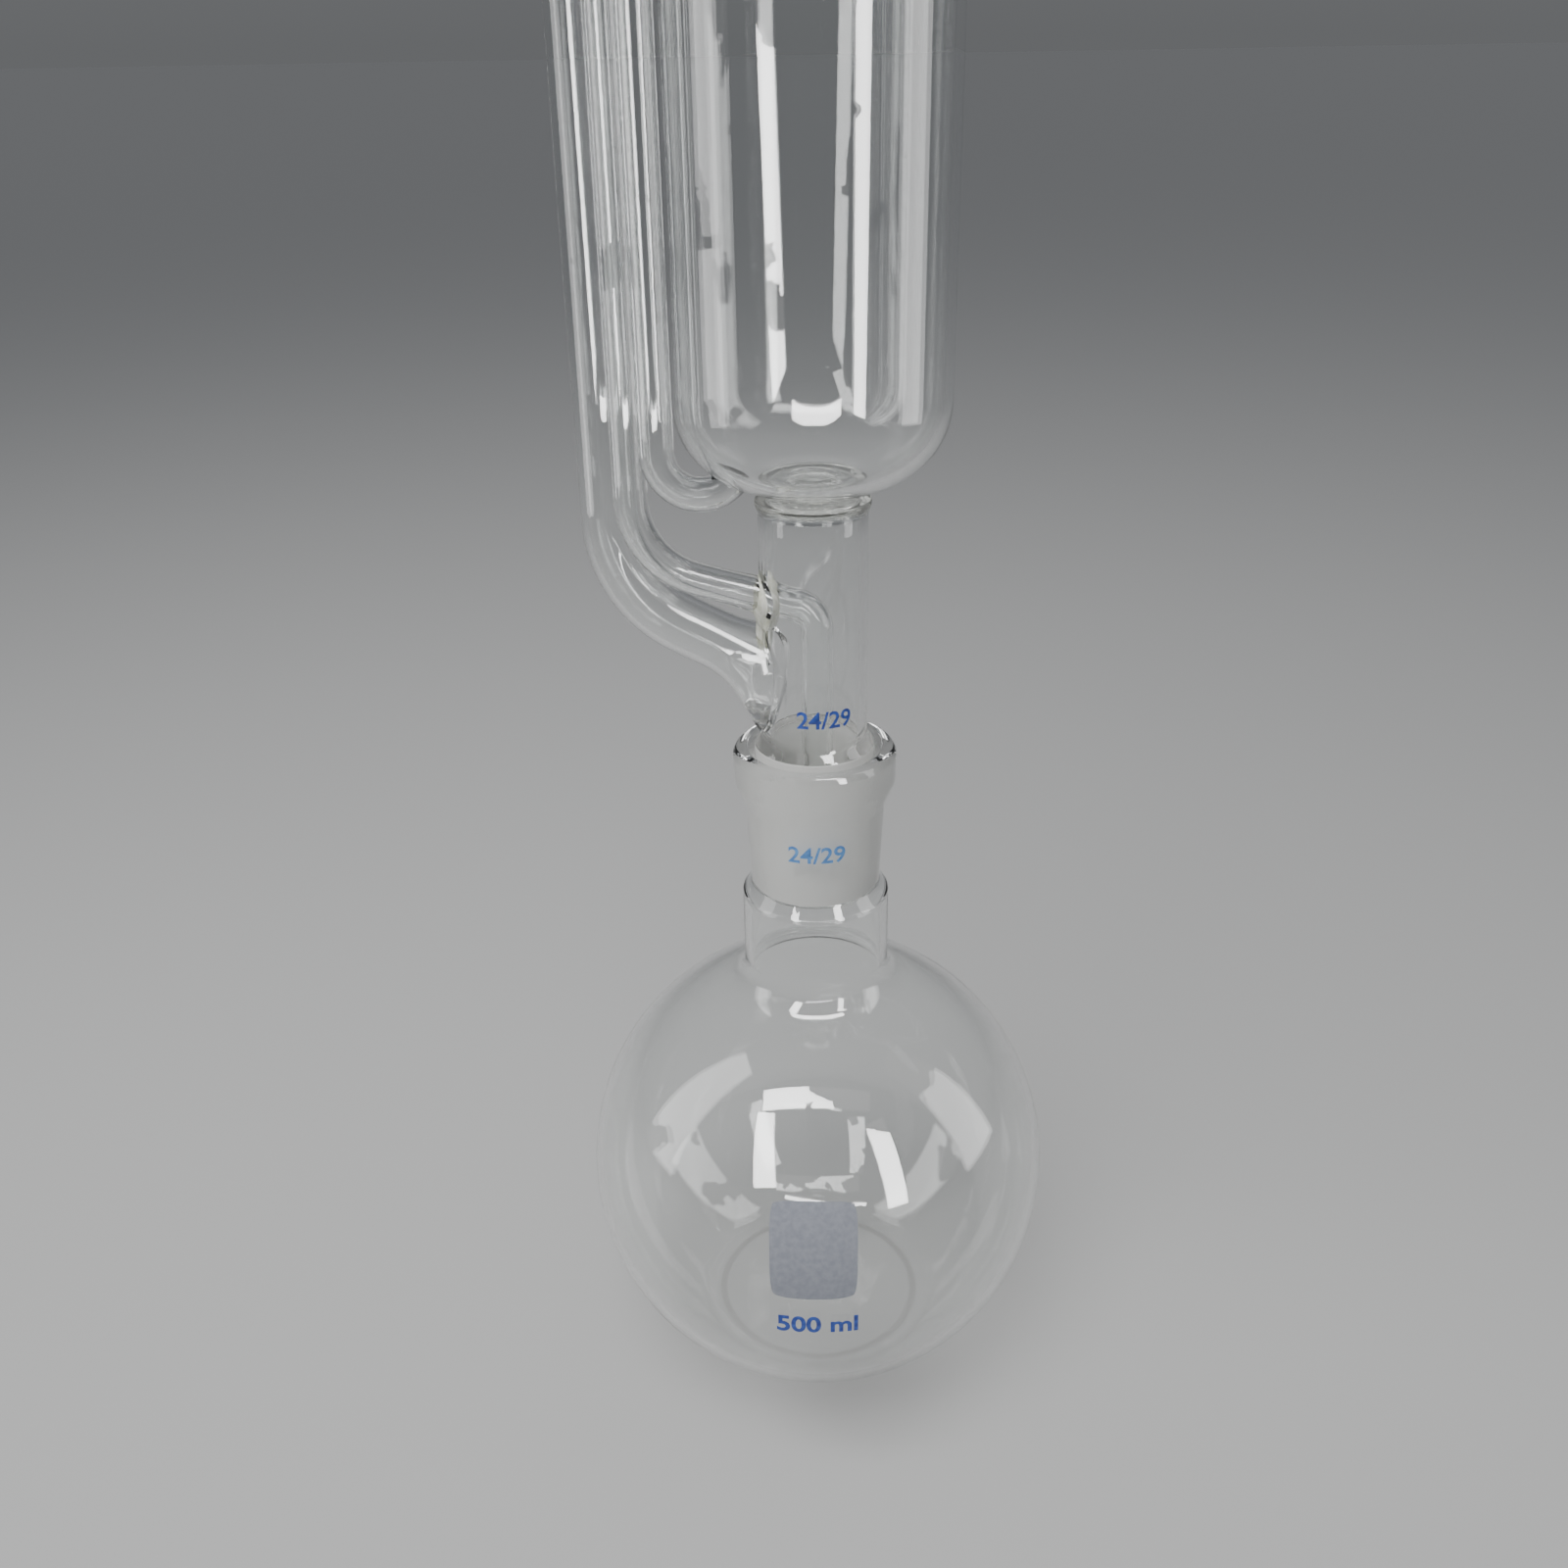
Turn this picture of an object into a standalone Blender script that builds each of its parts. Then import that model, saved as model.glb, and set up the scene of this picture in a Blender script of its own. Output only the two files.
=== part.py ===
"""Siphoning extractor on a flat-bottomed flask, with a straight water-jacketed condenser on top.

Metres, +Z up. The origin is the centre of the flask's flat base, and the common axis of the
flask, the extractor and the condenser is the Z axis. The two side tubes lie towards -X.
"""
import math

import bmesh
import bpy
from mathutils import Matrix, Vector

GAP = 0.0003              # clearance between neighbouring pieces
TRIM_SEGMENTS = 72        # facets of the round tools that trim a tube's end to a wall

# Flask
FLASK_RADIUS = 0.0515
FLASK_CENTRE_Z = 0.0440
FLASK_WALL = 0.0018
BASE_FILLET = 0.0080      # rounding between the sphere and the flat base
NECK_RADIUS = 0.0155
NECK_FILLET = 0.0040
RIM_Z = 0.1480            # top of the flask's rim, where the extractor's cone seats

# Ground joints, as large-end bore radius and ground length; all taper 1 in 10 on diameter
SMALL_JOINT = (0.0120, 0.0320)
WIDE_JOINT = (0.0225, 0.0400)
TOP_JOINT = (0.0145, 0.0320)
TAPER = 0.05              # loss of radius per unit of length
SOCKET_WALL = 0.0024
SHOULDER = 0.0030         # height of the step from a socket down to its neck

# Extractor
STEM_RADIUS = 0.01065
STEM_WALL = 0.0017
STEM_TOP_Z = 0.1978
STEM_RING_RADIUS = 0.0110
STEM_RING_HEIGHT = 0.0014
PLUG_RADIUS = 0.0040
CHAMBER_RADIUS = 0.0260
CHAMBER_WALL = 0.0018
CHAMBER_BOTTOM_Z = 0.2003
CHAMBER_DOME = 0.0185     # height of the rounded bottom
DOME_FULLNESS = 2.35      # exponent of its profile: 2 is an ellipse, more is fuller
CHAMBER_TOP_Z = 0.3820
CHAMBER_SOCKET_RIM_Z = 0.4300

# Side tubes, each as distance from the axis and bearing in degrees from +X
VAPOUR_RADIUS = 0.0060
VAPOUR_WALL = 0.0012
VAPOUR_LEG = (0.0396, 171.0)
VAPOUR_STEM_Z = 0.1660
VAPOUR_CHAMBER_Z = 0.3600
SIPHON_RADIUS = 0.00325
SIPHON_WALL = 0.0010
RISER_LEG = (0.0303, 199.5)
DOWN_LEG = (0.0344, 186.0)
SIPHON_CROWN_Z = 0.3180
SIPHON_FOOT_Z = 0.2022    # lowest point of the bend under the chamber, on its centre line
SIPHON_STEM_Z = 0.1805
DRIP_END_Z = 0.1235

# Condenser
INNER_TUBE_RADIUS = 0.0070
INNER_TUBE_WALL = 0.0013
INNER_TUBE_BOTTOM_Z = 0.3745
INNER_TUBE_TOP_Z = 0.6850
JACKET_RADIUS = 0.0160
JACKET_WALL = 0.0016
JACKET_Z = (0.4500, 0.6650)
HOSE_BORE = 0.0028
HOSE_RADIUS = 0.0042
HOSE_LENGTH = 0.0330
HOSE_INLET_Z = 0.4760
HOSE_OUTLET_Z = 0.6390
TOP_RIM_Z = 0.7260

GLASS = (0.86, 0.90, 0.90, 1.0)
FROSTED = (0.88, 0.88, 0.85, 1.0)


def clear_scene():
    for item in list(bpy.data.objects):
        bpy.data.objects.remove(item, do_unlink=True)


def material(name, colour, roughness):
    found = bpy.data.materials.get(name) or bpy.data.materials.new(name)
    found.use_nodes = True
    shader = found.node_tree.nodes["Principled BSDF"]
    shader.inputs["Base Color"].default_value = colour
    shader.inputs["Roughness"].default_value = roughness
    shader.inputs["Metallic"].default_value = 0.0
    shader.inputs["Transmission Weight"].default_value = 1.0
    return found


def clear_glass():
    return material("clear_glass", GLASS, 0.02)


def ground_glass():
    return material("ground_glass", FROSTED, 0.55)


def add_mesh(name, shape, finish):
    """Turn a bmesh into a smooth-shaded object that carries one material."""
    bmesh.ops.recalc_face_normals(shape, faces=shape.faces)
    mesh = bpy.data.meshes.new(name)
    shape.to_mesh(mesh)
    shape.free()
    mesh.shade_smooth()
    mesh.set_sharp_from_angle(angle=math.radians(35))
    mesh.materials.append(finish)
    item = bpy.data.objects.new(name, mesh)
    bpy.context.collection.objects.link(item)
    return item


def arc(centre, radii, start, end, steps):
    """Points of an elliptic arc in the (radius, height) plane, angles in degrees."""
    points = []
    for step in range(steps + 1):
        angle = math.radians(start + (end - start) * step / steps)
        points.append((centre[0] + radii[0] * math.cos(angle), centre[1] + radii[1] * math.sin(angle)))
    return points


def dome(radius, height, steps):
    """Rounded bottom of the chamber as (radius, height) points, from its centre up to its full radius."""
    power = 2 / DOME_FULLNESS
    points = []
    for step in range(steps + 1):
        angle = math.pi / 2 * step / steps
        across = radius * math.sin(angle) ** power
        down = height * max(math.cos(angle), 0.0) ** power
        points.append((across, CHAMBER_BOTTOM_Z + CHAMBER_DOME - down))
    return points


def turned(name, outline, finish, segments=24):
    """Revolve a closed outline of (radius, height) points about the Z axis."""
    shape = bmesh.new()
    rings = []
    for radius, height in outline:
        if radius < 1e-6:
            rings.append([shape.verts.new((0, 0, height))])
            continue
        angles = [2 * math.pi * k / segments for k in range(segments)]
        rings.append([shape.verts.new((radius * math.cos(a), radius * math.sin(a), height)) for a in angles])
    for ring, following in zip(rings, rings[1:] + rings[:1]):
        for k in range(segments):
            corners = [ring[k % len(ring)], ring[(k + 1) % len(ring)],
                       following[(k + 1) % len(following)], following[k % len(following)]]
            distinct = list(dict.fromkeys(corners))
            if len(distinct) > 2:
                shape.faces.new(distinct)
    return add_mesh(name, shape, finish)


def polar(leg, height):
    distance, bearing = leg
    angle = math.radians(bearing)
    return Vector((distance * math.cos(angle), distance * math.sin(angle), height))


def rounded_route(corners, radii, step=math.radians(12)):
    """Replace each inner corner of a route by an arc of the given radius."""
    route = [Vector(corners[0])]
    for before, corner, after, radius in zip(corners, corners[1:], corners[2:], radii):
        arrive = (corner - before).normalized()
        leave = (after - corner).normalized()
        turn = arrive.angle(leave)
        inward = (leave - arrive).normalized()
        centre = corner + inward * radius / math.cos(turn / 2)
        start = corner - arrive * radius * math.tan(turn / 2)
        axis = arrive.cross(leave).normalized()
        steps = max(2, round(turn / step))
        for k in range(steps + 1):
            route.append(centre + Matrix.Rotation(turn * k / steps, 3, axis) @ (start - centre))
    route.append(Vector(corners[-1]))
    return route


def bent_tube(name, route, radius, wall, finish, sides=12):
    """Sweep an open-ended tube wall along a route."""
    shape = bmesh.new()
    across = None
    outer_rings, inner_rings = [], []
    for index, point in enumerate(route):
        ahead = route[min(index + 1, len(route) - 1)] - route[max(index - 1, 0)]
        ahead.normalize()
        if across is None:
            across = ahead.orthogonal().normalized()
        across = (across - ahead * across.dot(ahead)).normalized()
        other = ahead.cross(across)
        for rings, reach in ((outer_rings, radius), (inner_rings, radius - wall)):
            ring = []
            for k in range(sides):
                angle = 2 * math.pi * k / sides
                spoke = across * math.cos(angle) + other * math.sin(angle)
                ring.append(shape.verts.new(point + spoke * reach))
            rings.append(ring)
    loop = outer_rings + inner_rings[::-1]
    for ring, following in zip(loop, loop[1:] + loop[:1]):
        for k in range(sides):
            n = (k + 1) % sides
            shape.faces.new((ring[k], ring[n], following[n], following[k]))
    return add_mesh(name, shape, finish)


def cutter(item):
    """Keep an object as a tool only: out of the render, drawn as wire."""
    item.hide_render = True
    item.display_type = "WIRE"
    return item


def rod_cutter(name, start, end, radius, segments=20):
    direction = end - start
    shape = bmesh.new()
    bmesh.ops.create_cone(shape, cap_ends=True, segments=segments, radius1=radius, radius2=radius,
                          depth=direction.length)
    turn = direction.to_track_quat("Z", "Y").to_matrix().to_4x4()
    bmesh.ops.transform(shape, matrix=Matrix.Translation((start + end) / 2) @ turn, verts=shape.verts)
    return cutter(add_mesh(name, shape, clear_glass()))


def cut(item, tool):
    modifier = item.modifiers.new("cut_" + tool.name, "BOOLEAN")
    modifier.operation = "DIFFERENCE"
    modifier.solver = "EXACT"
    modifier.object = tool


def flask_outline():
    """Outer and inner profile of the bulb, from the base centre up to its mouth and back."""
    outline = []
    for wall in (0.0, FLASK_WALL):
        radius = FLASK_RADIUS - wall
        floor = wall
        fillet = BASE_FILLET - wall / 2
        foot = math.sqrt((radius - fillet) ** 2 - (FLASK_CENTRE_Z - floor - fillet) ** 2)
        foot_angle = math.degrees(math.atan2(floor + fillet - FLASK_CENTRE_Z, foot))
        neck = NECK_RADIUS - wall
        neck_fillet = NECK_FILLET + wall
        crown = math.sqrt((radius + neck_fillet) ** 2 - (neck + neck_fillet) ** 2)
        crown_angle = math.degrees(math.atan2(crown, neck + neck_fillet))
        side = [(0.0, floor)]
        side += arc((foot, floor + fillet), (fillet, fillet), -90, foot_angle, 3)
        side += arc((0, FLASK_CENTRE_Z), (radius, radius), foot_angle, crown_angle, 12)[1:]
        side += arc((neck + neck_fillet, FLASK_CENTRE_Z + crown), (neck_fillet, neck_fillet),
                    180 + crown_angle, 180, 3)[1:]
        outline += side if wall == 0.0 else side[::-1]
    return outline


def socket_outline(joint, rim_z, neck_radius, neck_wall, bead_reach, bead_height):
    """Ground socket with a bead at its rim and a shoulder out to the neck below it."""
    bore, length = joint
    large = bore + GAP
    small = large - TAPER * length
    shoulder_z = rim_z - length
    bead = large + SOCKET_WALL + bead_reach
    half = bead_height / 2
    outline = [(large, rim_z), (large + 0.0012, rim_z + 0.0004)]
    outline += arc((bead - half * 0.6, rim_z - half), (half * 0.6, half), 80, -80, 4)
    outline += [
        (large + SOCKET_WALL - 0.0002, rim_z - bead_height - 0.0008),
        (small + SOCKET_WALL, shoulder_z + 0.0008),
        (neck_radius, shoulder_z - SHOULDER),
        (neck_radius - neck_wall, shoulder_z - SHOULDER),
        (small, shoulder_z - 0.0002),
    ]
    return outline


def cone_outline(joint, rim_z, wall, tube_radius, tube_z):
    """Ground cone, plain at its foot, drawn in at the top to the tube it carries."""
    bore, length = joint
    large = bore
    small = bore - TAPER * length
    return [
        (large, rim_z),
        (large, rim_z + 0.0012),
        (tube_radius, tube_z),
        (tube_radius - wall, tube_z),
        (large - wall - 0.0006, rim_z - 0.0010),
        (small - wall, rim_z - length),
        (small - wall, rim_z - length - 0.0010),
        (small - 0.0004, rim_z - length - 0.0010),
        (small, rim_z - length),
    ]


def make_flask():
    """Bulb, neck and ground socket, fused end to end."""
    bulb = flask_outline()
    turned("flask_bulb", bulb, clear_glass(), segments=36)
    bore = NECK_RADIUS - FLASK_WALL
    bottom = max(height for radius, height in bulb) + GAP
    top = RIM_Z - SMALL_JOINT[1] - SHOULDER - GAP
    turned("flask_neck", [(NECK_RADIUS, bottom), (NECK_RADIUS, top), (bore, top), (bore, bottom)],
           clear_glass())
    turned("flask_socket", socket_outline(SMALL_JOINT, RIM_Z, NECK_RADIUS, FLASK_WALL, 0.0021, 0.0104),
           ground_glass())


def make_chamber():
    """Chamber tube with its rounded bottom, open at the top and holed for both side tubes."""
    bore = CHAMBER_RADIUS - CHAMBER_WALL
    outer = dome(CHAMBER_RADIUS, CHAMBER_DOME, 7)
    inner = dome(bore, CHAMBER_DOME - CHAMBER_WALL, 7)
    outline = outer + [(CHAMBER_RADIUS, CHAMBER_TOP_Z), (bore, CHAMBER_TOP_Z)] + inner[::-1]
    return turned("extraction_chamber", outline, clear_glass(), segments=32)


def make_stem():
    bore = STEM_RADIUS - STEM_WALL
    bottom = RIM_Z + 0.0045 + GAP
    outline = [(STEM_RADIUS, bottom), (STEM_RADIUS, STEM_TOP_Z), (bore, STEM_TOP_Z), (bore, bottom)]
    return turned("vapour_stem", outline, clear_glass())


def make_stem_seal():
    """Closed top of the stem, with the solid plug that carries the chamber."""
    base = STEM_TOP_Z + GAP
    top = base + STEM_RING_HEIGHT
    outline = [(0.0, base), (STEM_RING_RADIUS - 0.0004, base), (STEM_RING_RADIUS, base + 0.0006),
               (STEM_RING_RADIUS, top - 0.0006), (STEM_RING_RADIUS - 0.0006, top),
               (PLUG_RADIUS + 0.0004, top),
               (PLUG_RADIUS, CHAMBER_BOTTOM_Z - GAP), (0.0, CHAMBER_BOTTOM_Z - GAP)]
    turned("stem_seal", outline, clear_glass())


def make_vapour_tube(stem, chamber):
    """Wide side tube that climbs from the stem and re-enters the chamber near its top."""
    distance, bearing = VAPOUR_LEG
    stem_entry = polar((STEM_RADIUS - 0.004, bearing), VAPOUR_STEM_Z - 0.0020)
    slope_end = polar((distance, bearing), VAPOUR_STEM_Z + 0.0130)
    elbow = polar((distance, bearing), VAPOUR_CHAMBER_Z)
    chamber_entry = polar((CHAMBER_RADIUS - 0.004, bearing), VAPOUR_CHAMBER_Z)
    route = rounded_route([stem_entry, slope_end, elbow, chamber_entry], (0.0230, 0.0095))
    tube = bent_tube("vapour_tube", route, VAPOUR_RADIUS, VAPOUR_WALL, clear_glass())

    height = Vector((0, 0, 0.03))
    stem_centre = Vector((0, 0, VAPOUR_STEM_Z))
    chamber_centre = Vector((0, 0, VAPOUR_CHAMBER_Z))
    cut(tube, rod_cutter("trim_stem", stem_centre - height, stem_centre + height, STEM_RADIUS + GAP,
                         TRIM_SEGMENTS))
    cut(tube, rod_cutter("trim_chamber", chamber_centre - height, chamber_centre + height,
                         CHAMBER_RADIUS + GAP, TRIM_SEGMENTS))
    bore = VAPOUR_RADIUS - VAPOUR_WALL
    outward = (slope_end - stem_entry).normalized()
    cut(stem, rod_cutter("port_vapour_stem", stem_entry - outward * 0.002, stem_entry + outward * 0.012, bore))
    inward = (chamber_entry - elbow).normalized()
    cut(chamber, rod_cutter("port_vapour_chamber", chamber_entry - inward * 0.008,
                            chamber_entry + inward * 0.004, bore))


def make_siphon(stem, chamber):
    """Narrow siphon: a bend under the chamber, a riser, a crown and the down leg to the stem."""
    riser_foot = polar(RISER_LEG, SIPHON_FOOT_Z)
    chamber_foot = polar((0.0178, 200.0), SIPHON_FOOT_Z)
    chamber_entry = polar((0.0135, 200.0), SIPHON_FOOT_Z + 0.0060)
    crown_z = SIPHON_CROWN_Z
    join_z = crown_z - 0.012
    riser = rounded_route([chamber_entry, chamber_foot, riser_foot, polar(RISER_LEG, join_z - GAP)],
                          (0.0060, 0.0088), step=math.radians(18))
    riser_tube = bent_tube("siphon_riser", riser, SIPHON_RADIUS, SIPHON_WALL, clear_glass(), sides=10)
    bowl = dome(CHAMBER_RADIUS + GAP, CHAMBER_DOME + GAP, 16) + [(0.0, CHAMBER_BOTTOM_Z + CHAMBER_DOME)]
    cut(riser_tube, cutter(turned("trim_dome", bowl, clear_glass(), segments=TRIM_SEGMENTS)))
    inward = (chamber_entry - chamber_foot).normalized()
    cut(chamber, rod_cutter("port_siphon_chamber", chamber_entry - inward * 0.004,
                            chamber_entry + inward * 0.004, SIPHON_RADIUS - SIPHON_WALL))

    bearing = DOWN_LEG[1]
    stem_face = polar((STEM_RADIUS + 0.0006, bearing), SIPHON_STEM_Z)
    slope_end = polar(DOWN_LEG, SIPHON_STEM_Z + 0.0075)
    crown_turn = (polar(DOWN_LEG, crown_z) - polar(RISER_LEG, crown_z)).length / 2 - 0.00005
    down = rounded_route([polar(RISER_LEG, join_z), polar(RISER_LEG, crown_z), polar(DOWN_LEG, crown_z),
                          slope_end, stem_face], (crown_turn, crown_turn, 0.0170), step=math.radians(18))
    bent_tube("siphon_down_leg", down, SIPHON_RADIUS, SIPHON_WALL, clear_glass(), sides=10)

    arrive = (stem_face - slope_end).normalized()
    inner_start = stem_face + arrive * GAP
    reach = math.hypot(inner_start.x, inner_start.y)
    slope = arrive.z / math.hypot(arrive.x, arrive.y)
    turn_point = Vector((0, 0, inner_start.z + slope * reach))
    drip = rounded_route([inner_start, turn_point, Vector((0, 0, DRIP_END_Z))], (0.0050,),
                         step=math.radians(15))
    bent_tube("drip_tube", drip, SIPHON_RADIUS, SIPHON_WALL, clear_glass(), sides=12)
    cut(stem, rod_cutter("port_siphon_stem", inner_start - arrive * 0.004, inner_start + arrive * 0.006,
                         SIPHON_RADIUS + GAP))


def make_extractor():
    turned("extractor_cone", cone_outline(SMALL_JOINT, RIM_Z, STEM_WALL, STEM_RADIUS, RIM_Z + 0.0045),
           ground_glass())
    stem = make_stem()
    make_stem_seal()
    chamber = make_chamber()
    make_vapour_tube(stem, chamber)
    make_siphon(stem, chamber)
    socket = socket_outline(WIDE_JOINT, CHAMBER_SOCKET_RIM_Z, CHAMBER_RADIUS, CHAMBER_WALL, 0.0026, 0.0095)
    seat = CHAMBER_TOP_Z + GAP
    socket[-3] = (CHAMBER_RADIUS, seat)
    socket[-2] = (CHAMBER_RADIUS - CHAMBER_WALL, seat)
    turned("chamber_socket", socket, ground_glass(), segments=28)


def hose_connector(name, height):
    """Ridged connector for a water hose, standing out sideways from the jacket."""
    outline = [(HOSE_BORE, 0.0), (HOSE_RADIUS, 0.0)]
    ridge_start = 0.0125
    ridge_pitch = 0.0044
    for ridge in range(4):
        foot = ridge_start + ridge * ridge_pitch
        outline += [(HOSE_RADIUS, foot), (HOSE_RADIUS + 0.0011, foot + 0.0010),
                    (HOSE_RADIUS, foot + ridge_pitch - 0.0004)]
    outline += [(HOSE_RADIUS - 0.0006, HOSE_LENGTH), (HOSE_BORE, HOSE_LENGTH)]
    item = turned(name, outline, clear_glass(), segments=14)
    lie_down = Matrix.Rotation(math.radians(90), 4, "Y")
    item.data.transform(Matrix.Translation((JACKET_RADIUS - 0.003, 0, height)) @ lie_down)
    reach = Vector((0, 0, 0.02))
    centre = Vector((0, 0, height))
    cut(item, rod_cutter("trim_" + name, centre - reach, centre + reach, JACKET_RADIUS + GAP,
                         TRIM_SEGMENTS))


def make_jacket():
    """Water jacket, drawn in at both ends to the inner tube."""
    low, high = JACKET_Z
    bore = INNER_TUBE_RADIUS + GAP
    end = JACKET_RADIUS * 0.62
    inside = JACKET_RADIUS - JACKET_WALL
    inner_end = end - JACKET_WALL
    lower = arc((bore, low + end), (JACKET_RADIUS - bore, end), -90, 0, 5)
    upper = arc((bore, high - end), (JACKET_RADIUS - bore, end), 0, 90, 5)
    inner_upper = arc((bore, high - end), (inside - bore, inner_end), 90, 0, 5)
    inner_lower = arc((bore, low + end), (inside - bore, inner_end), 0, -90, 5)
    jacket = turned("water_jacket", lower + upper + inner_upper + inner_lower, clear_glass())
    for name, height in (("port_inlet", HOSE_INLET_Z), ("port_outlet", HOSE_OUTLET_Z)):
        cut(jacket, rod_cutter(name, Vector((JACKET_RADIUS - 0.004, 0, height)),
                               Vector((JACKET_RADIUS + 0.003, 0, height)), HOSE_BORE))


def make_condenser():
    collar = INNER_TUBE_RADIUS + GAP
    cone_top = JACKET_Z[0] - GAP
    cone = cone_outline(WIDE_JOINT, CHAMBER_SOCKET_RIM_Z, 0.0020, collar + 0.0020, cone_top - 0.0040)
    cone.insert(3, (collar + 0.0020, cone_top))
    cone.insert(4, (collar, cone_top))
    cone[5] = (collar, cone_top - 0.0055)
    turned("condenser_cone", cone, ground_glass(), segments=28)

    bore = INNER_TUBE_RADIUS - INNER_TUBE_WALL
    tube = [(INNER_TUBE_RADIUS, INNER_TUBE_BOTTOM_Z), (INNER_TUBE_RADIUS, INNER_TUBE_TOP_Z),
            (bore, INNER_TUBE_TOP_Z), (bore, INNER_TUBE_BOTTOM_Z)]
    inner = turned("inner_tube", tube, clear_glass(), segments=16)
    tip = bmesh.new()
    bmesh.ops.create_cube(tip, size=0.03)
    tilt = Matrix.Rotation(math.radians(40), 4, "Y")
    tip_place = Matrix.Translation((0, 0, INNER_TUBE_BOTTOM_Z + 0.006)) @ tilt @ Matrix.Translation((0, 0, -0.015))
    bmesh.ops.transform(tip, matrix=tip_place, verts=tip.verts)
    cut(inner, cutter(add_mesh("trim_tip", tip, clear_glass())))

    make_jacket()
    hose_connector("water_inlet", HOSE_INLET_Z)
    hose_connector("water_outlet", HOSE_OUTLET_Z)
    top = socket_outline(TOP_JOINT, TOP_RIM_Z, INNER_TUBE_RADIUS, INNER_TUBE_WALL, 0.0024, 0.0085)
    seat = INNER_TUBE_TOP_Z + GAP
    top[-3] = (INNER_TUBE_RADIUS, seat)
    top[-2] = (bore, seat)
    turned("top_socket", top, ground_glass())


clear_scene()
make_flask()
make_extractor()
make_condenser()
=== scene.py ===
"""Siphoning extractor on a flat-bottomed flask, with a straight water-jacketed condenser."""
import math

import bpy
from mathutils import Matrix, Vector


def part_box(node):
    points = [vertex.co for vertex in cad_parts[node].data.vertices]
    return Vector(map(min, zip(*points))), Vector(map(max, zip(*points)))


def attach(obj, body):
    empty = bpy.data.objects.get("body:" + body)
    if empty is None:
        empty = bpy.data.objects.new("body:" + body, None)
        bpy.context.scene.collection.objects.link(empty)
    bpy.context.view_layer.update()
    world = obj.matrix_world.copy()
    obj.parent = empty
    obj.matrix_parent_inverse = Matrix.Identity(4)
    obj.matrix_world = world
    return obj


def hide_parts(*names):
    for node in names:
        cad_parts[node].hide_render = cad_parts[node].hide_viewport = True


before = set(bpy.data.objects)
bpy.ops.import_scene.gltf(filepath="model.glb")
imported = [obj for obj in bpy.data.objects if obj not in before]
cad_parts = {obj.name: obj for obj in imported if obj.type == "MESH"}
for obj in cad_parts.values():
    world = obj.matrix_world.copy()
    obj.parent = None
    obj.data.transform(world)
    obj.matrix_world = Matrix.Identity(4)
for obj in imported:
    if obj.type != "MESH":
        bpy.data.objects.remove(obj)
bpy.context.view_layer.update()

# --- Camera ------------------------------------------------------------------------------------
# A 35 mm lens, close in front of the extractor and looking down at the flask. The tilt of the
# frame makes the glassware lean a degree to the left.
camera_data = bpy.data.cameras.new("camera")
camera_data.sensor_width = 36.0
camera_data.lens = 35.0
camera_data.clip_start = 0.01
camera = bpy.data.objects.new("camera", camera_data)
bpy.context.scene.collection.objects.link(camera)
camera.matrix_world = (Matrix.Translation((-0.0064, -0.2837, 0.2776))
                       @ Matrix.Rotation(math.radians(90 - 26.06), 4, "X")
                       @ Matrix.Rotation(math.radians(-0.965), 4, "Z"))
bpy.context.scene.camera = camera

# --- Flask -------------------------------------------------------------------------------------
# A 500 ml bulb and neck blown from clear borosilicate tube, with the base pressed flat while soft.
# A 24/29 socket with a heavy bead is fused on top, and its bore is ground.


def deselect_all():
    """Leave edit mode, with nothing selected."""
    if bpy.context.object and bpy.context.object.mode != "OBJECT":
        bpy.ops.object.mode_set(mode="OBJECT")
    bpy.ops.object.select_all(action="DESELECT")


def sweep(centre, radius, start, end, step=4):
    """Points of an arc in the (radius, height) plane, with angles in degrees."""
    count = max(2, round(abs(end - start) / step))
    angles = [math.radians(start + (end - start) * k / count) for k in range(count + 1)]
    return [(centre[0] + radius * math.cos(a), centre[1] + radius * math.sin(a)) for a in angles]


def soften(corners, step=15):
    """Round each (radius, height, fillet) corner of a closed outline."""
    outline = []
    for k, (x, z, fillet) in enumerate(corners):
        corner = Vector((x, z))
        if fillet <= 0:
            outline.append((x, z))
            continue
        before = Vector(corners[k - 1][:2]) - corner
        after = Vector(corners[(k + 1) % len(corners)][:2]) - corner
        half = before.angle(after) / 2
        reach = min(fillet / math.tan(half), before.length * 0.49, after.length * 0.49)
        start, end = corner + before.normalized() * reach, corner + after.normalized() * reach
        count = max(3, round(math.degrees(math.pi - 2 * half) / step))
        for n in range(count + 1):
            t = n / count
            point = (1 - t) ** 2 * start + 2 * t * (1 - t) * corner + t ** 2 * end
            outline.append((point.x, point.y))
    return outline


def finish_shading(piece, angle=40):
    """Smooth every curve, and keep the edges that are sharper than the angle."""
    deselect_all()
    piece.select_set(True)
    bpy.context.view_layer.objects.active = piece
    bpy.ops.object.shade_smooth_by_angle(angle=math.radians(angle))


def lathe(name, outline, steps=112):
    """Spin a closed outline of (radius, height) points round the glassware's axis."""
    deselect_all()
    bpy.ops.mesh.primitive_circle_add(vertices=len(outline), radius=0.01)
    piece = bpy.context.object
    piece.name = piece.data.name = name
    for vertex, (radius, height) in zip(piece.data.vertices, outline):
        vertex.co = (max(radius, 0.0), 0.0, height)
    bpy.ops.object.mode_set(mode="EDIT")
    bpy.ops.mesh.select_all(action="SELECT")
    bpy.ops.mesh.spin(steps=steps, angle=2 * math.pi, center=(0, 0, 0), axis=(0, 0, 1))
    bpy.ops.mesh.select_all(action="SELECT")
    bpy.ops.mesh.remove_doubles(threshold=0.000002)
    bpy.ops.mesh.dissolve_degenerate(threshold=0.000001)
    bpy.ops.mesh.select_all(action="SELECT")
    bpy.ops.mesh.normals_make_consistent(inside=False)
    bpy.ops.object.mode_set(mode="OBJECT")
    finish_shading(piece)
    return piece


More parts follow.
